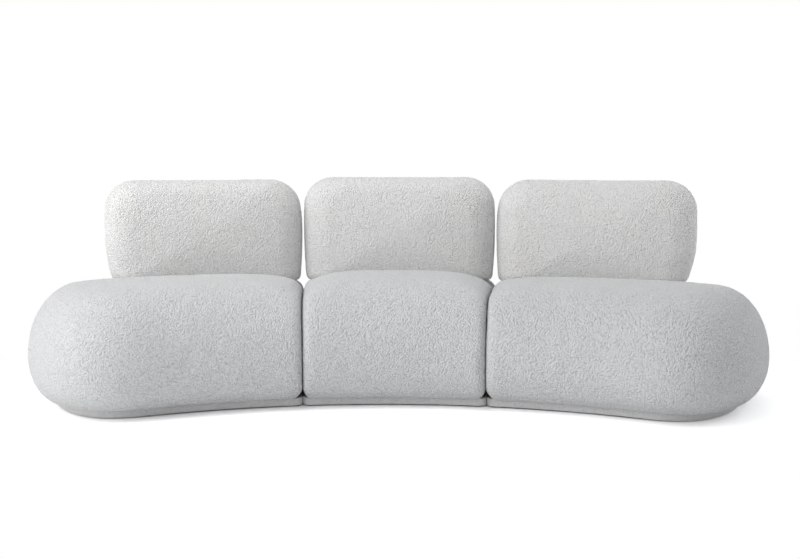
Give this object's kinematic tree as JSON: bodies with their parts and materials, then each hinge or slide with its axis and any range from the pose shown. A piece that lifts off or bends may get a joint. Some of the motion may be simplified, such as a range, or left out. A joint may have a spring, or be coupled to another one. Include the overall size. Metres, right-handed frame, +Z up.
{
  "type": "curved sofa",
  "caption": "Curved sofa in white bouclé on a recessed plinth: joined seat units with rounded kidney-shaped ends, each with a block backrest whose posts lift out of sockets in the seat.",
  "frame": {"origin": "on the floor under the middle of the whole sofa's box", "axes": "+X to the sitter's left seen from the front (the right of the picture), -Y to the front, +Z up"},
  "size_m": [2.7184, 1.2424, 0.78],
  "materials": {
    "boucle": "matte",
    "foam": "matte",
    "plywood": "matte",
    "webbing": "matte",
    "zinc_steel": "satin",
    "dust_cover": "matte",
    "glide_plastic": "satin"
  },
  "bodies": {
    "centre_module": {"left_seam_front_hook": "zinc_steel", "left_seam_rear_hook": "zinc_steel", "centre_seat_cover": "boucle", "centre_seat_foam": "foam", "centre_seat_frame": "plywood", "centre_seat_webbing": "webbing", "centre_back_mount_bar": "zinc_steel", "centre_plinth_frame": "plywood", "centre_plinth_cover": "boucle", "centre_dust_cover": "dust_cover", "centre_front_left_glide": "glide_plastic", "centre_front_right_glide": "glide_plastic", "centre_rear_left_glide": "glide_plastic", "centre_rear_right_glide": "glide_plastic", "right_seam_front_hook": "zinc_steel", "right_seam_rear_hook": "zinc_steel"},
    "left_module": {"left_seat_cover": "boucle", "left_seat_foam": "foam", "left_seat_frame": "plywood", "left_seat_webbing": "webbing", "left_back_mount_bar": "zinc_steel", "left_plinth_frame": "plywood", "left_plinth_cover": "boucle", "left_dust_cover": "dust_cover", "left_front_inner_glide": "glide_plastic", "left_front_outer_glide": "glide_plastic", "left_rear_inner_glide": "glide_plastic", "left_rear_outer_glide": "glide_plastic", "left_seam_front_catch": "zinc_steel", "left_seam_rear_catch": "zinc_steel"},
    "right_module": {"right_seat_cover": "boucle", "right_seat_foam": "foam", "right_seat_frame": "plywood", "right_seat_webbing": "webbing", "right_back_mount_bar": "zinc_steel", "right_plinth_frame": "plywood", "right_plinth_cover": "boucle", "right_dust_cover": "dust_cover", "right_front_inner_glide": "glide_plastic", "right_front_outer_glide": "glide_plastic", "right_rear_inner_glide": "glide_plastic", "right_rear_outer_glide": "glide_plastic", "right_seam_front_catch": "zinc_steel", "right_seam_rear_catch": "zinc_steel"},
    "centre_back": {"centre_back_cover": "boucle", "centre_back_foam": "foam", "centre_back_frame": "plywood", "centre_back_left_post": "zinc_steel", "centre_back_right_post": "zinc_steel"},
    "left_back": {"left_back_cover": "boucle", "left_back_foam": "foam", "left_back_frame": "plywood", "left_back_left_post": "zinc_steel", "left_back_right_post": "zinc_steel"},
    "right_back": {"right_back_cover": "boucle", "right_back_foam": "foam", "right_back_frame": "plywood", "right_back_left_post": "zinc_steel", "right_back_right_post": "zinc_steel"}
  },
  "joints": [
    {"name": "left_unit_lift", "type": "slide", "parent": "centre_module", "child": "left_module", "axis": [0, 0, 1], "range_m": [0, 0.05]},
    {"name": "right_unit_lift", "type": "slide", "parent": "centre_module", "child": "right_module", "axis": [0, 0, 1], "range_m": [0, 0.05]},
    {"name": "centre_back_lift", "type": "slide", "parent": "centre_module", "child": "centre_back", "axis": [0, 0, 1], "range_m": [0, 0.3]},
    {"name": "left_back_lift", "type": "slide", "parent": "left_module", "child": "left_back", "axis": [0, 0, 1], "range_m": [0, 0.3]},
    {"name": "right_back_lift", "type": "slide", "parent": "right_module", "child": "right_back", "axis": [0, 0, 1], "range_m": [0, 0.3]}
  ]
}
